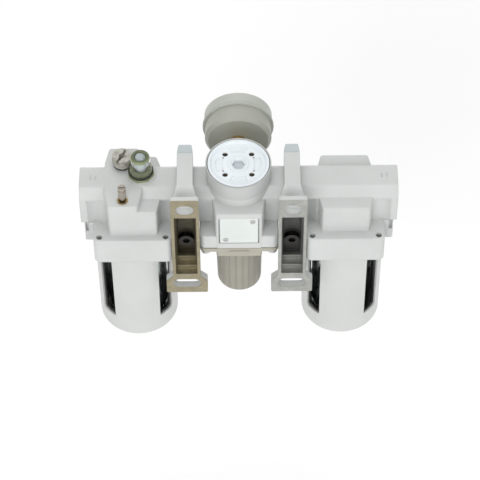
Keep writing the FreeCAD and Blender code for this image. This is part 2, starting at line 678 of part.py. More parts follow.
def filter_element():
    return tube(10.5, 6.5, -62, -26)


def filter_deflector():
    disc = cut(fuse([rod(13.0, -25.9, -22.2), rod(8.4, -22.2, -19.6)]), [rod(4.9, -30, -18)])
    blades = []
    for k in range(12):
        notch = box(10.8, 14, -0.6, 0.6, -27, -21)
        notch.rotate(Vector(12, 0, -24), RIGHT, 30)
        blades.append(turned(notch, 30 * k))
    return cut(disc, blades)


def filter_baffle():
    plate = cone(12.8, 11.0, -66, -62.1)
    stud = rod(3.0, -62.2, -26.2)
    return fuse([plate, stud, rod(4.8, -26.2, -20.5)]).cut(rod(1.5, -24, -20))


def drain_cock():
    stem = rod(3.0, -103, -95.5)
    wing = rod(5.4, -110, -101.4)
    grips = [rod(0.8, -111, -102.6, 5.7 * math.cos(k * math.pi / 6), 5.7 * math.sin(k * math.pi / 6))
             for k in range(12)]
    nozzle = rod(2.4, -114, -109)
    return cut(fuse([stem, wing, nozzle]), grips + [rod(1.2, -115, -95)])


def siphon_tube():
    return tube(1.6, 0.9, -88, -10).fuse(tube(3.0, 0.9, -14.5, -10))


def oil_strainer():
    return cut(rod(3.6, -93.5, -86.5), [rod(1.6, -88, -86)])


def damper_vane():
    flap = box(-0.5, 0.5, -3.6, 3.6, -4.6, 4.6)
    return flap.fuse(rod_x(2.2, -0.5, 3.0, 0, 3.4))


def damper_retainer():
    frame = rod_x(PASSAGE_RADIUS, 3.0, 8.0)
    return frame.cut(rod_x(4.6, 2, 9))


def check_ball():
    return Part.makeSphere(1.6, Vector(0, 0, -8.6))


def sight_dome():
    """Clear dome with a flat ring at its top, over the drip chamber."""
    x, y = DOME
    foot = PORT_TOP + 2.8
    outer = fuse([
        rod(4.9, 9.2, foot + 0.1, x, y),
        cone(6.3, 5.5, foot, 24.5, x, y),
        cone(5.5, 4.7, 24.5, DOME_TOP, x, y),
    ])
    inner = fuse([rod(3.6, 8, 23, x, y), cone(3.6, 2.6, 23, DOME_TOP - 1.6, x, y)])
    return cut(outer, [inner])


def dome_nut():
    """Eight-sided flange under the dome."""
    x, y = DOME
    corners = []
    for k in range(8):
        turn = math.radians(45 * k + 30.5)
        corners.append((7.4 * math.cos(turn), 7.4 * math.sin(turn)))
    flange = moved(prism_z(corners, PORT_TOP + 0.45, PORT_TOP + 1.8), x, y, 0)
    return cut(flange, [rod(4.98, 10, 30, x, y)])


def dome_seal():
    x, y = DOME
    return tube(6.75, 5.0, PORT_TOP + 1.85, PORT_TOP + 2.75, x, y)


def needle_bush():
    x, y = NEEDLE
    low = NEEDLE_SEAT - 4.8
    bush = fuse([rod(NEEDLE_BUSH - 0.05, low, NEEDLE_SEAT, x, y), rod(2.9, NEEDLE_SEAT, NEEDLE_SEAT + 0.5, x, y)])
    return cut(bush, [rod(1.45, 0, 30, x, y), rod(2.1, NEEDLE_SEAT - 1.2, 30, x, y)])


def needle_screw():
    """Knurled and slotted drip-rate screw with a slim neck and a pointed end."""
    x, y = NEEDLE
    radius = 2.2
    low = NEEDLE_SEAT + 2.9
    top = NEEDLE_SEAT + 10.6
    head = rod(radius, low, top, x, y)
    teeth = []
    for k in range(20):
        turn = k * math.pi / 10
        teeth.append(rod(0.2, low - 1, top - 0.6, x + (radius + 0.04) * math.cos(turn),
                         y + (radius + 0.04) * math.sin(turn)))
    waist = tube(3, radius - 0.25, top - 1.5, top - 0.9, x, y)
    slot = box(x - 3, x + 3, y - 0.35, y + 0.35, top - 1.3, top + 1)
    point = NEEDLE_SEAT - 4.4
    stem = fuse([rod(1.4, point, low, x, y), cone(0.4, 1.4, point - 1.6, point, x, y)])
    return fuse([cut(head, teeth + [waist, slot]), stem])


def fill_plug():
    x, y = PLUG
    top = PORT_TOP + 7.2
    head = fuse([rod(5.2, PORT_TOP + 1.9, top, x, y), rod(PLUG_THREAD, 6.5, PORT_TOP + 1.9, x, y)])
    slot = turned(box(x - 6, x + 6, y - 0.8, y + 0.8, top - 2.6, top + 1), 62, x, y)
    return cut(head, [slot, rod(1.7, PORT_TOP + 1, top + 1, x, y)])


def fill_plug_seal():
    x, y = PLUG
    return tube(5.0, PLUG_THREAD + 0.1, PORT_TOP + 0.5, PORT_TOP + 1.8, x, y)


def gauge_case():
    """Rear shell of the gauge, open to the dial."""
    back = [(GAUGE_RADIUS - 1.8, GAUGE_BACK), (GAUGE_RADIUS, GAUGE_BACK - 2.2)]
    shell = rod_y(GAUGE_RADIUS, GAUGE_SEAM, GAUGE_BACK - 2.2).fuse(
        Part.makeCone(back[1][0], back[0][0], 2.2, Vector(0, back[1][1], 0), BACK))
    return cut(shell, [rod_y(GAUGE_RADIUS - 1.6, GAUGE_SEAM - 1, GAUGE_BACK - 3.5), rod_y(4.4, -45, -30)])


def gauge_stem():
    hexagon_part = hexagon(12.0, 0, 6.5)
    hexagon_part.rotate(Vector(0, 0, 0), RIGHT, 90)
    hexagon_part = moved(hexagon_part, 0, -23.5, 0)
    stem = fuse([rod_y(4.1, -23.5, -13), hexagon_part, rod_y(4.3, -43, -30)])
    return cut(stem, [rod_y(1.2, -44, -12)])


def gauge_tube():
    """Curved pressure tube in the gauge, fixed to the stem."""
    loop = Part.makeTorus(10.5, 1.3, Vector(0, -44.5, 0), BACK)
    gap = box(-14, 0, -48, -41, -14, 0)
    foot = box(-1.6, 1.6, -46, -43.0, -11.2, 3)
    return cut(loop, [gap]).fuse(foot)


def gauge_dial():
    disc = rod_y(16.6, -49.4, -48.6)
    return cut(disc, [rod_y(0.7, -51, -47)])


def gauge_pointer():
    hub = rod_y(1.7, -51.0, -49.9)
    arm = prism_y([(-0.9, -5), (0.9, -5), (0.35, 13.5), (-0.35, 13.5)], -50.6, -50.1)
    pin = rod_y(0.55, -50, -46.2)
    shape = fuse([hub, arm, pin])
    shape.rotate(Vector(0, 0, 0), BACK, -130)
    return shape


def gauge_cover():
    return rod_y(17.35, -54.6, -53.2)


def gauge_rim():
    """Front shell of the gauge, which holds the clear cover."""
    shell = tube_y(GAUGE_RIM_RADIUS, 16.8, GAUGE_FRONT + 0.6, GAUGE_SEAM)
    seat = rod_y(17.4, GAUGE_FRONT + 1.3, -53.1)
    return cut(shell, [seat])


def gauge_limit_ring():
    """Turnable outer ring with a thin flange, and a limit tab in front of the cover."""
    shell = tube_y(GAUGE_RING_RADIUS, GAUGE_RIM_RADIUS + 0.1, GAUGE_FRONT, GAUGE_SEAM - 0.1)
    flange = tube_y(GAUGE_FLANGE_RADIUS, GAUGE_RIM_RADIUS + 0.1, GAUGE_SEAM - 0.9, GAUGE_SEAM - 0.1)
    lip = tube_y(GAUGE_RING_RADIUS, 15.6, GAUGE_FRONT - 1.0, GAUGE_FRONT + 0.5)
    outer = [e for e in lip.Edges if e.Closed and abs(e.CenterOfMass.y - GAUGE_FRONT + 1.0) < 0.01
             and e.BoundBox.XMax > GAUGE_RING_RADIUS - 0.5]
    lip = lip.makeFillet(0.9, outer)
    tab = box(-0.9, 0.9, GAUGE_FRONT - 0.8, GAUGE_FRONT + 0.3, 12.8, 16.5)
    return fuse([shell, flange, lip, tab])


def pair(shape, offset):
    return Part.makeCompound([moved(shape, -offset), moved(shape, offset)])


def build():
    save("filter_body", filter_body())
    save("regulator_body", regulator_body())
    save("lubricator_body", lubricator_body())
    save("bracket_filter_side", moved(bracket(), -CLAMP_X))
    save("bracket_lubricator_side", moved(bracket(), CLAMP_X))
    save("clamp_front_filter_side", moved(clamp_front(), -CLAMP_X))
    save("clamp_front_lubricator_side", moved(clamp_front(), CLAMP_X))
    save("clamp_screws", pair(clamp_screw(), CLAMP_X))
    save("joint_seals", pair(joint_seal(), CLAMP_X))
    save("valve_guide_cap", valve_guide_cap())
    save("valve_cap_seal", tube(14.2, 11.7, 19.0, 20.0))
    save("nameplate", nameplate())
    save("nameplate_pins", nameplate_pins())
    save("bonnet", bonnet())
    save("bonnet_screws", bonnet_screws())
    save("diaphragm", tube(16.0, 9.4, FLANGE_BOTTOM - 0.8, FLANGE_BOTTOM))
    save("knob", knob())
    save("adjusting_screw", adjusting_screw())
    save("spring_nut", spring_nut())
    save("setting_spring", coil_spring(6.3, 0.8, -49.0, SPRING_TOP, 6))
    save("valve_stem", valve_stem())
    save("diaphragm_plates", diaphragm_plates())
    save("valve_spring", coil_spring(3.4, 0.4, 6.4, 11.5, 3))
    save("gauge_case", gauge_case())
    save("gauge_stem", gauge_stem())
    save("gauge_tube", gauge_tube())
    save("gauge_dial", gauge_dial())
    save("gauge_pointer", gauge_pointer())
    save("gauge_cover", gauge_cover())
    save("gauge_rim", gauge_rim())
    save("gauge_limit_ring", gauge_limit_ring())
    for name, x in (("filter", FILTER_X), ("lubricator", LUBRICATOR_X)):
        save(f"{name}_bowl", moved(bowl(name == "filter"), x))
        save(f"{name}_bowl_guard", moved(bowl_guard(), x))
        save(f"{name}_bowl_seal", moved(bowl_seal(), x))
        save(f"{name}_lock_button", moved(lock_button(), x))
        save(f"{name}_lock_spring", moved(lock_spring(), x))
    save("filter_element", moved(filter_element(), FILTER_X))
    save("filter_deflector", moved(filter_deflector(), FILTER_X))
    save("filter_baffle", moved(filter_baffle(), FILTER_X))
    save("drain_cock", moved(drain_cock(), FILTER_X))
    save("siphon_tube", moved(siphon_tube(), LUBRICATOR_X))
    save("oil_strainer", moved(oil_strainer(), LUBRICATOR_X))
    save("damper_vane", moved(damper_vane(), LUBRICATOR_X))
    save("damper_retainer", moved(damper_retainer(), LUBRICATOR_X))
    save("check_ball", moved(check_ball(), LUBRICATOR_X))
    save("sight_dome", moved(sight_dome(), LUBRICATOR_X))
    save("dome_nut", moved(dome_nut(), LUBRICATOR_X))
    save("dome_seal", moved(dome_seal(), LUBRICATOR_X))
    save("needle_bush", moved(needle_bush(), LUBRICATOR_X))
    save("needle_screw", moved(needle_screw(), LUBRICATOR_X))
    save("fill_plug", moved(fill_plug(), LUBRICATOR_X))
    save("fill_plug_seal", moved(fill_plug_seal(), LUBRICATOR_X))


os.makedirs("parts", exist_ok=True)
build()
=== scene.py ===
import bpy
import json
import math
from mathutils import Matrix, Vector


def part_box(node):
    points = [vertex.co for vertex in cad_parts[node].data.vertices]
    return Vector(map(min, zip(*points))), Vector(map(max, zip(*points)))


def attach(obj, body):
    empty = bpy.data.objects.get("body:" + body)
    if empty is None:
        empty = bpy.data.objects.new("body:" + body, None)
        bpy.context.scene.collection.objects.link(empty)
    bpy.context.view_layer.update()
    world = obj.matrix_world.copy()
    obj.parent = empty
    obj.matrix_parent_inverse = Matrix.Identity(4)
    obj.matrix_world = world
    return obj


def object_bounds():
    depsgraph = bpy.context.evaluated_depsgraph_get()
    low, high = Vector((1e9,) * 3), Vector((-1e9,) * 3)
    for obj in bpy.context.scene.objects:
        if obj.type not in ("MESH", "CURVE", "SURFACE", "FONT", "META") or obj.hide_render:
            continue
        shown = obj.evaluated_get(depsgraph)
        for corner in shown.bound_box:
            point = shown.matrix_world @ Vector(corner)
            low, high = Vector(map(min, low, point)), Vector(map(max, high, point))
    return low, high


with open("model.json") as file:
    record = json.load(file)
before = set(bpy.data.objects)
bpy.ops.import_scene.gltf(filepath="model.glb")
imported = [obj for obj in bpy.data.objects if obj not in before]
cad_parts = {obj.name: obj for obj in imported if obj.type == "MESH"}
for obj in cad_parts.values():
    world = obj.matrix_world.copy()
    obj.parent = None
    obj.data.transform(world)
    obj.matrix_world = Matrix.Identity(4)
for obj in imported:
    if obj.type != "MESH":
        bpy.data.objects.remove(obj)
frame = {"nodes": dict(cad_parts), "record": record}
cad_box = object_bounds()
NODES = frame["nodes"]
MM = 0.001


def centre(node):
    low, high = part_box(node)
    return (low + high) / 2


# Camera and light -----------------------------------------------------------------------------

PORT_Y = centre("joint_seals").y          # the air line's axis
PORT_Z = centre("joint_seals").z
CAMERA_ELEVATION = math.radians(51.5)
CAMERA_DISTANCE = 1.215
CAMERA_BELOW_AXIS = 0.0252                # how far the view centre lies below the air line, across the view
CAMERA_ROLL = math.radians(-0.5)
FOCAL_MM = 168.2


def make_camera():
    back = Vector((0, math.cos(CAMERA_ELEVATION), math.sin(CAMERA_ELEVATION)))
    up = Vector((0, -math.sin(CAMERA_ELEVATION), math.cos(CAMERA_ELEVATION)))
    target = Vector((-0.0005, PORT_Y, PORT_Z)) - up * CAMERA_BELOW_AXIS
    camera = bpy.data.objects.new("camera", bpy.data.cameras.new("camera"))
    bpy.context.collection.objects.link(camera)
    camera.data.lens = FOCAL_MM
    camera.data.sensor_width = 36
    camera.data.clip_start = 0.05
    camera.data.clip_end = 20
    camera.location = target + back * CAMERA_DISTANCE
    aim = back.to_track_quat("Z", "Y").to_matrix()
    camera.rotation_euler = (aim @ Matrix.Rotation(CAMERA_ROLL, 3, "Z")).to_euler()
    bpy.context.scene.camera = camera


def area_light(name, place, aim, width, power):
    light = bpy.data.lights.new(name, "AREA")
    light.shape = "DISK"
    light.size = width
    light.energy = power
    lamp = bpy.data.objects.new(name, light)
    bpy.context.collection.objects.link(lamp)
    lamp.location = place
    lamp.rotation_euler = (Vector(place) - Vector(aim)).to_track_quat("Z", "Y").to_euler()


def make_studio():
    low, high = cad_box
    middle = (Vector(low) + Vector(high)) / 2
    floor_z = low[2] - 0.18
    mesh = bpy.data.meshes.new("floor")
    reach = 6
    mesh.from_pydata([(-reach, -reach, floor_z), (reach, -reach, floor_z), (reach, reach, floor_z),
                      (-reach, reach, floor_z)], [], [(0, 1, 2, 3)])
    floor = bpy.data.objects.new("floor", mesh)
    bpy.context.collection.objects.link(floor)
    mat = bpy.data.materials.new("floor")
    mat.use_nodes = True
    shader = mat.node_tree.nodes["Principled BSDF"]
    shader.inputs["Base Color"].default_value = (0.98, 0.98, 0.98, 1)
    shader.inputs["Roughness"].default_value = 0.9
    noise = mat.node_tree.nodes.new("ShaderNodeTexNoise")
    noise.inputs["Scale"].default_value = 40
    ramp = mat.node_tree.nodes.new("ShaderNodeValToRGB")
    ramp.color_ramp.elements[0].color = (0.97, 0.97, 0.97, 1)
    ramp.color_ramp.elements[1].color = (0.99, 0.99, 0.99, 1)
    mat.node_tree.links.new(noise.outputs["Fac"], ramp.inputs["Fac"])
    mat.node_tree.links.new(ramp.outputs["Color"], shader.inputs["Base Color"])
    mesh.materials.append(mat)
    world = bpy.data.worlds.new("studio")
    world.use_nodes = True
    world.node_tree.nodes["Background"].inputs["Color"].default_value = (1, 1, 1, 1)
    world.node_tree.nodes["Background"].inputs["Strength"].default_value = 0.62
    bpy.context.scene.world = world
    area_light("key", middle + Vector((0.5, 1.5, 0.9)), middle, 1.0, 11)
    area_light("fill", middle + Vector((-0.9, 1.1, 0.6)), middle, 0.9, 4)
    area_light("top", middle + Vector((0, -0.3, 1.6)), middle, 1.2, 5)
    area_light("front", middle + Vector((0.2, -1.5, 0.5)), middle, 1.2, 6)
    bpy.context.scene.view_settings.view_transform = "Standard"


# Materials ------------------------------------------------------------------------------------

class Recipe:
    """Small helper for building a node material around one Principled shader."""

    def __init__(self, name):
        self.material = bpy.data.materials.new(name)
        self.material.use_nodes = True
        self.tree = self.material.node_tree
        self.shader = self.tree.nodes["Principled BSDF"]
        self.place = self.tree.nodes.new("ShaderNodeTexCoord").outputs["Object"]

    def node(self, kind, **values):
        made = self.tree.nodes.new(kind)
        for key, value in values.items():
            setattr(made, key, value)
        return made

    def link(self, out, into):
        self.tree.links.new(out, into)

    def stretched(self, scale):
        mapping = self.node("ShaderNodeMapping")
        mapping.inputs["Scale"].default_value = scale
        self.link(self.place, mapping.inputs["Vector"])
        return mapping.outputs["Vector"]

    def noise(self, scale, detail=3.0, rough=0.5, vector=None):
        made = self.node("ShaderNodeTexNoise")
        made.inputs["Scale"].default_value = scale
        made.inputs["Detail"].default_value = detail
        made.inputs["Roughness"].default_value = rough
        self.link(vector or self.place, made.inputs["Vector"])
        return made.outputs["Fac"]

    def ramp(self, value, stops):
        made = self.node("ShaderNodeValToRGB")
        points = made.color_ramp.elements
        while len(points) < len(stops):
            points.new(0.5)
        for point, (position, colour) in zip(points, stops):
            point.position = position
            point.color = (*colour, 1) if len(colour) == 3 else colour
        self.link(value, made.inputs["Fac"])
        return made.outputs["Color"]

    def remap(self, value, low, high, from_low=0.3, from_high=0.7):
        made = self.node("ShaderNodeMapRange")
        made.inputs["From Min"].default_value = from_low
        made.inputs["From Max"].default_value = from_high
        made.inputs["To Min"].default_value = low
        made.inputs["To Max"].default_value = high
        self.link(value, made.inputs["Value"])
        return made.outputs["Result"]

    def mix(self, factor, a, b, blend="MIX"):
        made = self.node("ShaderNodeMix", data_type="RGBA", blend_type=blend)
        if isinstance(factor, float):
            made.inputs["Factor"].default_value = factor
        else:
            self.link(factor, made.inputs["Factor"])
        for socket, value in ((made.inputs[6], a), (made.inputs[7], b)):
            if isinstance(value, tuple):
                socket.default_value = (*value, 1)
            else:
                self.link(value, socket)
        return made.outputs[2]

    def rounded(self, radius):
        """Shading normal with the edges softened, as a thick paint film or a mould leaves them."""
        made = self.node("ShaderNodeBevel")
        made.samples = 4
        made.inputs["Radius"].default_value = radius
        return made.outputs["Normal"]

    def bump(self, height, distance, strength=1.0, normal=None):
        made = self.node("ShaderNodeBump")
        made.inputs["Distance"].default_value = distance
        made.inputs["Strength"].default_value = strength
        self.link(height, made.inputs["Height"])
        if normal is not None:
            self.link(normal, made.inputs["Normal"])
        return made.outputs["Normal"]

    def set(self, **values):
        for key, value in values.items():
            self.shader.inputs[key.replace("_", " ")].default_value = value

    def finish(self, colour=None, roughness=None, normal=None):
        for socket, value in (("Base Color", colour), ("Roughness", roughness), ("Normal", normal)):
            if value is not None:
                self.link(value, self.shader.inputs[socket])
        return self.material


def shade(colour, factor):
    return tuple(min(1.0, c * factor) for c in colour)


def painted(name, colour, edge=0.5, rough=(0.34, 0.48), peel=0.00003, metal_flake=0.0, painted_shade_above=None):
    """Stoved paint on a casting: faint mottling, orange peel and dust specks, and painted shade above a given
    height.
    """
    r = Recipe(name)
    broad = r.noise(45, 4)
    base = r.ramp(broad, [(0.3, shade(colour, 0.955)), (0.7, shade(colour, 1.03))])
    specks = r.ramp(r.noise(1500, 2), [(0.69, (0, 0, 0)), (0.74, (1, 1, 1))])
    base = r.mix(specks, base, shade(colour, 0.82))
    if metal_flake:
        flake = r.noise(5200, 1)
        flecks = r.ramp(flake, [(0.35, shade(colour, 0.5)), (0.65, shade(colour, 1.5))])
        base = r.mix(metal_flake, base, flecks)
    if painted_shade_above is not None:
        # painted shade: everything above the given height is darkened to 0.86 of the paint colour
        split = r.node("ShaderNodeSeparateXYZ")
        r.link(r.place, split.inputs["Vector"])
        base = r.mix(within(r, split.outputs[2], painted_shade_above, 1.0), base, shade(colour, 0.86))
    normal = r.rounded(edge * MM)
    normal = r.bump(r.noise(900, 2), peel, 0.6, normal)
    normal = r.bump(r.noise(160, 3), peel * 2.5, 0.5, normal)
    return r.finish(base, r.remap(r.noise(210, 3), *rough), normal)


def moulded(name, colour, edge=0.3, rough=(0.42, 0.58), grain=0.00002):
    """Moulded plastic with a fine spark-eroded grain."""
    r = Recipe(name)
    base = r.ramp(r.noise(60, 3), [(0.3, shade(colour, 0.95)), (0.7, shade(colour, 1.04))])
    normal = r.bump(r.noise(3200, 2), grain, 0.7, r.rounded(edge * MM))
    return r.finish(base, r.remap(r.noise(300, 3), *rough), normal)


def metal(name, colour, rough=(0.25, 0.42), streak=(900, 900, 60), edge=0.15):
    """Machined or plated metal with fine tool lines."""
    r = Recipe(name)
    r.set(Metallic=1.0)
    lines = r.noise(1.0, 4, 0.6, r.stretched(streak))
    base = r.ramp(lines, [(0.3, shade(colour, 0.82)), (0.7, shade(colour, 1.08))])
    stain = r.ramp(r.noise(120, 4), [(0.55, (0, 0, 0)), (0.8, (0.5, 0.5, 0.5))])
    base = r.mix(stain, base, shade(colour, 0.55))
    normal = r.bump(lines, 0.00002, 0.5, r.rounded(edge * MM))
    return r.finish(base, r.remap(lines, *rough), normal)


def rubber(name):
    r = Recipe(name)
    base = r.ramp(r.noise(400, 3), [(0.3, (0.012, 0.012, 0.012)), (0.7, (0.03, 0.03, 0.03))])
    return r.finish(base, r.remap(r.noise(900, 2), 0.5, 0.75), r.bump(r.noise(2500, 2), 0.00002, 0.6))


def clear(name, tint, transmission=1.0, rough=(0.03, 0.12)):
    r = Recipe(name)
    r.set(Transmission_Weight=transmission, IOR=1.5)
    base = r.ramp(r.noise(70, 3), [(0.3, shade(tint, 0.94)), (0.7, tint)])
    normal = r.bump(r.noise(110, 2), 0.00006, 0.35)
    return r.finish(base, r.remap(r.noise(260, 4), *rough), normal)


def porous(name, colour):
    r = Recipe(name)
    cells = r.node("ShaderNodeTexVoronoi")
    cells.inputs["Scale"].default_value = 1400
    r.link(r.place, cells.inputs["Vector"])
    base = r.ramp(cells.outputs["Distance"], [(0.0, shade(colour, 0.7)), (0.5, colour)])
    return r.finish(base, r.remap(r.noise(500, 2), 0.8, 0.95), r.bump(cells.outputs["Distance"], 0.0001, 0.6))


def within(r, value, low, high):
    """1 where a coordinate lies between two planes, else 0."""
    above = r.node("ShaderNodeMath", operation="GREATER_THAN")
    below = r.node("ShaderNodeMath", operation="LESS_THAN")
    both = r.node("ShaderNodeMath", operation="MULTIPLY")
    r.link(value, above.inputs[0])
    above.inputs[1].default_value = low
    r.link(value, below.inputs[0])
    below.inputs[1].default_value = high
    r.link(above.outputs[0], both.inputs[0])
    r.link(below.outputs[0], both.inputs[1])
    return both.outputs[0]


def product(r, a, b):
    made = r.node("ShaderNodeMath", operation="MULTIPLY")
    r.link(a, made.inputs[0])
    r.link(b, made.inputs[1])
    return made.outputs[0]


def larger(r, a, b):
    made = r.node("ShaderNodeMath", operation="MAXIMUM")
    r.link(a, made.inputs[0])
    r.link(b, made.inputs[1])
    return made.outputs[0]


CAST = (0.572, 0.588, 0.576)
GUARD = (0.578, 0.590, 0.574)
CHANNEL_HALF = 6.6 * MM          # to the middle of the bracket channel's side walls
CHANNEL_DEPTH = 12.6 * MM        # from the wall plane to just past the channel's floor
CHANNEL_UNSHADED_DEPTH = 7.6 * MM     # nearer the wall than this the bare metal has its full colour; deeper, painted shade darkens it
CHANNEL_ABOVE_FOOT = 13.6 * MM   # lower end of the channel, from the bracket's bottom
CHANNEL_BELOW_TOP = 13.8 * MM    # upper end of the channel, from the bracket's top


def bracket_finish(name, node, bare):
    """Painted outside; the face that meets the wall and the channel are bare, lightly stained metal, with
    painted shade darkening the channel towards its floor.
    """
    low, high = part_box(node)
    middle = (low.x + high.x) / 2
    r = Recipe(name)
    split = r.node("ShaderNodeSeparateXYZ")
    r.link(r.place, split.inputs["Vector"])
    x, y, z = split.outputs
    face = within(r, y, high.y - 0.3 * MM, high.y + 1 * MM)
    inside = product(r, within(r, x, middle - CHANNEL_HALF, middle + CHANNEL_HALF),
                     within(r, y, high.y - CHANNEL_DEPTH, high.y + 1 * MM))
    inside = product(r, inside, within(r, z, low.z + CHANNEL_ABOVE_FOOT, high.z - CHANNEL_BELOW_TOP))
    mask = larger(r, face, inside)
    brushed = r.noise(1.0, 4, 0.6, r.stretched((300, 300, 1400)))
    metal_colour = r.ramp(brushed, [(0.25, shade(bare, 0.78)), (0.75, shade(bare, 1.15))])
    patches = r.ramp(r.noise(130, 5, 0.6), [(0.35, (0, 0, 0)), (0.75, (0.7, 0.7, 0.7))])
    metal_colour = r.mix(patches, metal_colour, shade(bare, 0.62))
    # painted shade: the channel's metal darkens to a tenth of its colour towards the channel floor
    painted_channel_shade = r.remap(y, 0.10, 1.0, high.y - CHANNEL_DEPTH, high.y - CHANNEL_UNSHADED_DEPTH)
    channel_colour_with_painted_shade = r.mix(1.0, metal_colour, painted_channel_shade, "MULTIPLY")
    paint = r.ramp(r.noise(45, 4), [(0.3, shade(CAST, 0.97)), (0.7, shade(CAST, 1.03))])
    base = r.mix(mask, paint, channel_colour_with_painted_shade)
    r.link(product_value(r, mask, 0.75), r.shader.inputs["Metallic"])
    normal = r.bump(brushed, 0.00002, 0.4, r.rounded(0.5 * MM))
    return r.finish(base, r.remap(r.noise(300, 3), 0.34, 0.5), normal)


def radius_from(r, x, y):
    """Distance of the shaded point from an upright axis."""
    shifted = r.node("ShaderNodeVectorMath", operation="SUBTRACT")
    r.link(r.place, shifted.inputs[0])
    shifted.inputs[1].default_value = (x, y, 0)
    flat = r.node("ShaderNodeVectorMath", operation="MULTIPLY")
    r.link(shifted.outputs[0], flat.inputs[0])
    flat.inputs[1].default_value = (1, 1, 0)
    length = r.node("ShaderNodeVectorMath", operation="LENGTH")
    r.link(flat.outputs[0], length.inputs[0])
    return length.outputs["Value"]


def product_value(r, a, factor):
    made = r.node("ShaderNodeMath", operation="MULTIPLY")
    r.link(a, made.inputs[0])
    made.inputs[1].default_value = factor
    return made.outputs[0]


def guard_finish(name, node, colour):
    """White stove paint outside; the inner wall dark, with vertical painted reflection streaks."""
    low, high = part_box(node)
    middle = (low + high) / 2
    r = Recipe(name)
    inner = within(r, radius_from(r, middle.x, middle.y), 0.0, (high.x - low.x) / 2 - 1.2 * MM)
    split = r.node("ShaderNodeSeparateXYZ")
    r.link(r.place, split.inputs["Vector"])
    inner = product(r, inner, within(r, split.outputs[2], low.z + 1.2 * MM, high.z + 1 * MM))
    base = r.ramp(r.noise(45, 4), [(0.3, shade(colour, 0.97)), (0.7, shade(colour, 1.02))])
    # painted reflection: vertical streaks on the dark inner wall stand for the clear bowl's reflections
    painted_reflection_streaks = r.noise(1.0, 4, 0.6, r.stretched((420, 420, 14)))
    dark_inner_wall_with_painted_streaks = r.ramp(painted_reflection_streaks, [(0.35, (0.045, 0.046, 0.048)), (0.65, (0.19, 0.19, 0.19))])
    base = r.mix(inner, base, dark_inner_wall_with_painted_streaks)
    normal = r.bump(r.noise(700, 2), 0.00003, 0.6, r.rounded(0.4 * MM))
    return r.finish(base, r.remap(r.noise(210, 3), 0.3, 0.45), normal)


make_materials = {
    "cast_pale": lambda: painted("cast_paint", CAST, 0.7),
    "bracket_metal": lambda: painted("bracket_paint", (0.36, 0.335, 0.285), 0.5, (0.28, 0.42), 0.00002, 0.3),
    "clamp_grey": lambda: painted("clamp_paint", (0.484, 0.534, 0.547), 0.8),
    "white_plastic": lambda: moulded("white_moulding", (0.80, 0.86, 0.90), 0.25, (0.25, 0.38)),
    "taupe_plastic": lambda: moulded("taupe_moulding", (0.41, 0.39, 0.325), 0.35),
    "gauge_grey": lambda: moulded("gauge_moulding", (0.475, 0.490, 0.445), 0.5, (0.35, 0.5)),
    "guard_white": lambda: painted("guard_paint", (0.70, 0.70, 0.68), 0.5, (0.3, 0.45)),
    "clear_plastic": lambda: clear("clear_moulding", (0.88, 0.92, 0.91)),
    "dial_white": lambda: moulded("dial_print", (0.88, 0.88, 0.86), 0.1),
    "pointer_black": lambda: moulded("pointer_paint", (0.02, 0.02, 0.02), 0.1),
    "brass": lambda: metal("brass_turned", (0.78, 0.53, 0.20)),
    "steel": lambda: metal("steel_plated", (0.60, 0.60, 0.60)),
    "plate_silver": lambda: painted("plate_lacquer", (0.68, 0.725, 0.70), 0.1, (0.28, 0.4), 0.00001),
    "rubber_black": lambda: rubber("seal_rubber"),
    "olive_plastic": lambda: moulded("olive_moulding", (0.27, 0.31, 0.17), 0.2, (0.25, 0.4)),
    "beige_plastic": lambda: moulded("beige_moulding", (0.50, 0.47, 0.40), 0.3),
    "element_white": lambda: porous("element_sinter", (0.80, 0.78, 0.70)),
    "dark_plastic": lambda: moulded("dark_moulding", (0.035, 0.035, 0.04), 0.3),
}


def cap_finish(name, node, colour):
    """White moulding with painted shade inside its deep holes, brown-dark at the hole floors."""
    low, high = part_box(node)
    middle = (low + high) / 2
    top = high.z
    r = Recipe(name)
    split = r.node("ShaderNodeSeparateXYZ")
    r.link(r.place, split.inputs["Vector"])
    painted_hole_shade = within(r, split.outputs[2], top - 6 * MM, top - 1.95 * MM)
    outside_hexagon = within(r, radius_from(r, middle.x, middle.y), 4.6 * MM, 16 * MM)
    base = r.ramp(r.noise(60, 3), [(0.3, shade(colour, 0.96)), (0.7, shade(colour, 1.03))])
    # painted shade: the cap darkens inside its holes and turns brown-dark at their floors
    base = r.mix(painted_hole_shade, base, shade(colour, 0.78))
    base = r.mix(product(r, painted_hole_shade, outside_hexagon), base, (0.16, 0.13, 0.10))
    normal = r.bump(r.noise(3200, 2), 0.00002, 0.6, r.rounded(0.25 * MM))
    return r.finish(base, r.remap(r.noise(300, 3), 0.25, 0.38), normal)


def mottled(name, pale, dark):
    """Old moulding with a blotchy, weathered skin."""
    r = Recipe(name)
    blotch = r.noise(420, 5, 0.65)
    base = r.ramp(blotch, [(0.32, dark), (0.5, shade(pale, 0.85)), (0.7, pale)])
    normal = r.bump(blotch, 0.00005, 0.6, r.rounded(0.25 * MM))
    return r.finish(base, r.remap(blotch, 0.55, 0.35), normal)


CUP_START = PORT_Z + 14.8 * MM   # just above the top flat of the port blocks

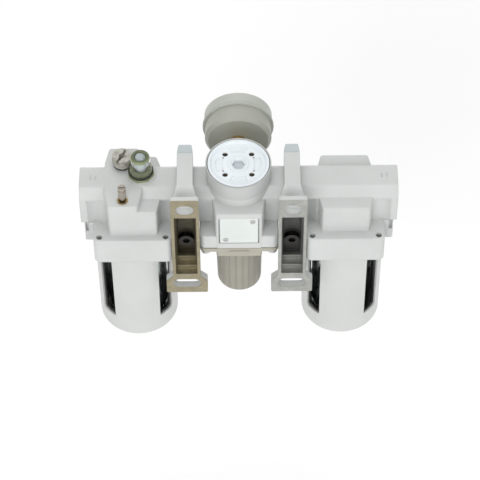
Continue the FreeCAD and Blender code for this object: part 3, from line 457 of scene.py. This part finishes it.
OWN_FINISH = {
    # The regulator's cup gets painted shade above CUP_START, darker than the rest of the same casting.
    "regulator_body": lambda: painted("cast_paint_cup_painted_shade", CAST, 0.7, painted_shade_above=CUP_START),
    "valve_guide_cap": lambda: cap_finish("cap_moulding", "valve_guide_cap", (0.78, 0.83, 0.86)),
    # The clamp screws deep in the bracket channels are a near-black metal.
    "clamp_screws": lambda: metal("near_black_screw_metal", (0.055, 0.052, 0.048), (0.3, 0.45)),
    # The gauge case is a darker copy of the gauge moulding: painted shade on its back.
    "gauge_case": lambda: moulded("gauge_case_moulding_painted_shade", (0.385, 0.395, 0.345), 0.5, (0.35, 0.5)),
    "knob": lambda: moulded("knob_moulding", (0.316, 0.302, 0.253), 0.35),
    "sight_dome": lambda: clear("dome_moulding", (0.97, 0.985, 0.965), 1.0, (0.02, 0.06)),
    "needle_screw": lambda: metal("nickel_worn", (0.44, 0.40, 0.35), (0.25, 0.4), (900, 900, 200)),
    "needle_bush": lambda: metal("brass_dark", (0.42, 0.31, 0.15)),
    "fill_plug": lambda: mottled("plug_moulding", (0.52, 0.51, 0.45), (0.22, 0.20, 0.16)),
    # The two brackets are the same bare metal; their grey and tan tones are painted reflection of their
    # surroundings.
    "bracket_filter_side": lambda: bracket_finish("bracket_grey_painted_reflection", "bracket_filter_side",
                                                  (0.440, 0.445, 0.415)),
    "bracket_lubricator_side": lambda: bracket_finish("bracket_tan_painted_reflection", "bracket_lubricator_side",
                                                      (0.366, 0.325, 0.222)),
    "filter_bowl_guard": lambda: guard_finish("guard_paint_filter", "filter_bowl_guard", GUARD),
    "lubricator_bowl_guard": lambda: guard_finish("guard_paint_lubricator", "lubricator_bowl_guard", GUARD),
}


def dress_nodes():
    """Give every CAD node the material of its slot, or its own finish where one is listed."""
    made = {}
    for part in frame["record"]["subparts"]:
        node = NODES[part["node"]]
        slot = part["material_slot"]
        node.data.materials.clear()
        if slot not in made:
            made[slot] = make_materials[slot]()
        own = OWN_FINISH.get(part["node"])
        node.data.materials.append(own() if own else made[slot])
    return made


# Added pieces ---------------------------------------------------------------------------------

WAYS = (Vector((1, 0, 0)), Vector((0, 1, 0)), Vector((0, 0, 1)))


def add_mesh(name, points, faces, body, material, smooth=False):
    """A mesh piece that rides on a body, in the frame's own metres."""
    mesh = bpy.data.meshes.new(name)
    mesh.from_pydata([tuple(p) for p in points], [], faces)
    mesh.validate()
    for face in mesh.polygons:
        face.use_smooth = smooth
    piece = bpy.data.objects.new(name, mesh)
    bpy.context.collection.objects.link(piece)
    mesh.materials.append(material)
    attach(piece, body)
    return piece


def axes_for(axis):
    """Two unit directions square to an axis."""
    up = Vector(axis).normalized()
    side = up.orthogonal().normalized()
    return up, side, up.cross(side)


def lathe(name, outline, place, axis, body, material, steps=72, smooth=True):
    """Turn a closed outline of (radius, height) points about an axis through place."""
    up, side, other = axes_for(axis)
    points = []
    for k in range(steps):
        turn = 2 * math.pi * k / steps
        out = side * math.cos(turn) + other * math.sin(turn)
        points += [Vector(place) + out * r * MM + up * h * MM for r, h in outline]
    count = len(outline)
    faces = []
    for k in range(steps):
        here, after = k * count, (k + 1) % steps * count
        for j in range(count):
            nxt = (j + 1) % count
            faces.append((here + j, after + j, after + nxt, here + nxt))
    return add_mesh(name, points, faces, body, material, smooth)


def slabs(name, boxes, body, material):
    """Several small blocks in one mesh. Each is (centre, half sizes along three directions, directions)."""
    points = []
    faces = []
    for middle, halves, directions in boxes:
        start = len(points)
        for sx in (-1, 1):
            for sy in (-1, 1):
                for sz in (-1, 1):
                    corner = Vector(middle)
                    for sign, half, way in zip((sx, sy, sz), halves, directions):
                        corner = corner + Vector(way) * (sign * half * MM)
                    points.append(corner)
        for face in ((0, 1, 3, 2), (4, 6, 7, 5), (0, 4, 5, 1), (2, 3, 7, 6), (0, 2, 6, 4), (1, 5, 7, 3)):
            faces.append(tuple(start + index for index in face))
    return add_mesh(name, points, faces, body, material)


def dial_angle(share):
    """Direction on the dial for a share of its scale: zero is low on the left, seen from the front."""
    turn = math.radians(-130 + 260 * share)
    return Vector((math.sin(turn), 0, math.cos(turn)))


def add_dial():
    """Scale ticks and numbers on the dial's face, which looks along -Y."""
    low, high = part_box("gauge_dial")
    middle = (low + high) / 2
    face = Vector((middle.x, low.y - 0.03 * MM, middle.z))
    ticks = []
    for k in range(51):
        way = dial_angle(k / 50)
        long = k % 5 == 0
        radius = 14.1 if long else 14.5
        across = way.cross(Vector((0, 1, 0)))
        ticks.append((face + way * radius * MM, (1.1 if long else 0.7, 0.04, 0.16 if long else 0.07),
                      (way, Vector((0, 1, 0)), across)))
    slabs("dial_ticks", ticks, "root", MATERIALS["pointer_black"])
    for k in range(0, 11, 2):
        way = dial_angle(k / 10)
        curve = bpy.data.curves.new(f"dial_number_{k}", "FONT")
        curve.body = str(k)
        curve.size = 3.4 * MM
        curve.extrude = 0.02 * MM
        curve.align_x = "CENTER"
        curve.align_y = "CENTER"
        number = bpy.data.objects.new(f"dial_number_{k}", curve)
        bpy.context.collection.objects.link(number)
        number.location = face + way * 10.9 * MM
        number.rotation_euler = (math.radians(90), 0, 0)
        curve.materials.append(MATERIALS["pointer_black"])
        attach(number, "root")
    band = [(15.2, 0), (15.5, 0), (15.5, 0.04), (15.2, 0.04)]
    lathe("dial_scale_line", band, face, (0, -1, 0), "root", MATERIALS["pointer_black"])


def add_port_threads():
    """Thread ridges inside the inlet and outlet, as one long helix each."""
    for name, side in (("inlet", -1), ("outlet", 1)):
        mount = next(m for m in frame["record"]["mounts"] if m["name"] == name)
        place = Vector(mount["pos_m"])
        radius = mount["dims"]["r_mm"]
        pitch = 1.34
        turns = 7
        steps = 40
        points = []
        for k in range(turns * steps + 1):
            turn = 2 * math.pi * k / steps
            painted_hole_shade = 0.9 + pitch * k / steps
            out = Vector((0, math.cos(turn), math.sin(turn)))
            for rise, along in ((0.02, -0.5), (-0.55, 0), (0.02, 0.5)):
                inwards = Vector((-side, 0, 0)) * (painted_hole_shade + along) * MM
                points.append(place + out * (radius + rise) * MM + inwards)
        faces = []
        for k in range(turns * steps):
            a, b = 3 * k, 3 * k + 3
            faces += [(a, b, b + 1, a + 1), (a + 1, b + 1, b + 2, a + 2)]
        add_mesh(f"{name}_thread", points, faces, "root", MATERIALS["cast_pale"], True)


def add_ribs(name, node, body, count, radius, low_z, high_z, size_mm):
    """Upright grip ribs round an upright part, standing just proud of it."""
    place = centre(node)
    ribs = []
    for k in range(count):
        turn = 2 * math.pi * k / count
        out = Vector((math.cos(turn), math.sin(turn), 0))
        across = Vector((-out.y, out.x, 0))
        middle = Vector((place.x, place.y, (low_z + high_z) / 2)) + out * radius * MM
        ribs.append((middle, (0.14, size_mm, (high_z - low_z) / 2 / MM), (out, across, Vector((0, 0, 1)))))
    slabs(name, ribs, body, NODES[node].data.materials[0])


def add_lubricator_details():
    low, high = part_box("fill_plug")
    add_ribs("fill_plug_ribs", "fill_plug", "fill_plug", 30, 5.2, high.z - 4.6 * MM,
             high.z - 0.7 * MM, 0.24)
    low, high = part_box("sight_dome")
    place = Vector(((low.x + high.x) / 2, (low.y + high.y) / 2, high.z))
    ring = [(3.2, -1.0), (3.2, -0.35), (3.5, -0.02), (4.5, -0.02), (5.0, -0.35), (5.15, -1.2), (4.85, -1.6),
            (3.7, -1.6)]
    lathe("dome_top_ring", ring, place, (0, 0, 1), "root", MATERIALS["olive_plastic"])
    # A drip insert inside the dome, made white as painted highlight standing in for the dome's bright
    # highlights.
    insert = [(0.01, -9.5), (0.01, -0.35), (2.3, -0.35), (2.9, -0.8), (2.6, -2.2), (3.2, -5.6), (3.3, -9.5)]
    lathe("dome_drip_insert_painted_highlight", insert, place, (0, 0, 1), "root", MATERIALS["white_plastic"])
    facets = [(3.9, -10.9), (3.9, -7.8), (4.6, -8.4), (5.5, -10.5), (5.5, -10.9)]
    lathe("dome_foot_facets", facets, place, (0, 0, 1), "root",
          MATERIALS["olive_plastic"], 8, False)


def add_cap_marks():
    """Four small ejector marks beside the spanner holes of the valve cap."""
    low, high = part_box("valve_guide_cap")
    middle = (low + high) / 2
    marks = []
    for sx in (-1, 1):
        for sy in (-1, 1):
            place = Vector((middle.x + sx * 8.2 * MM, middle.y + sy * 4.6 * MM, high.z - 1.17 * MM))
            marks.append((place, (0.42, 0.42, 0.05), WAYS))
    slabs("cap_marks", marks, "root", MATERIALS["cap_mark"])


def add_flow_marks():
    """Two short raised bars near each end of the air line, where a casting carries its blank mark."""
    bars = []
    for side, node in ((-1, "filter_body"), (1, "lubricator_body")):
        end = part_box(node)[0].x if side < 0 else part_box(node)[1].x
        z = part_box("filter_body")[1].z
        for k in range(2):
            x = end - side * (6.0 + 2.6 * k) * MM
            bars.append((Vector((x, PORT_Y, z + 0.02 * MM)), (0.45, 1.6 - 0.5 * k, 0.12), WAYS))
    slabs("flow_marks", bars, "root", MATERIALS["cast_pale"])


make_camera()
make_studio()
MATERIALS = dress_nodes()
MATERIALS["cap_mark"] = moulded("cap_mark", (0.25, 0.24, 0.22), 0.05)
add_dial()
add_port_threads()
add_lubricator_details()
add_cap_marks()
add_flow_marks()
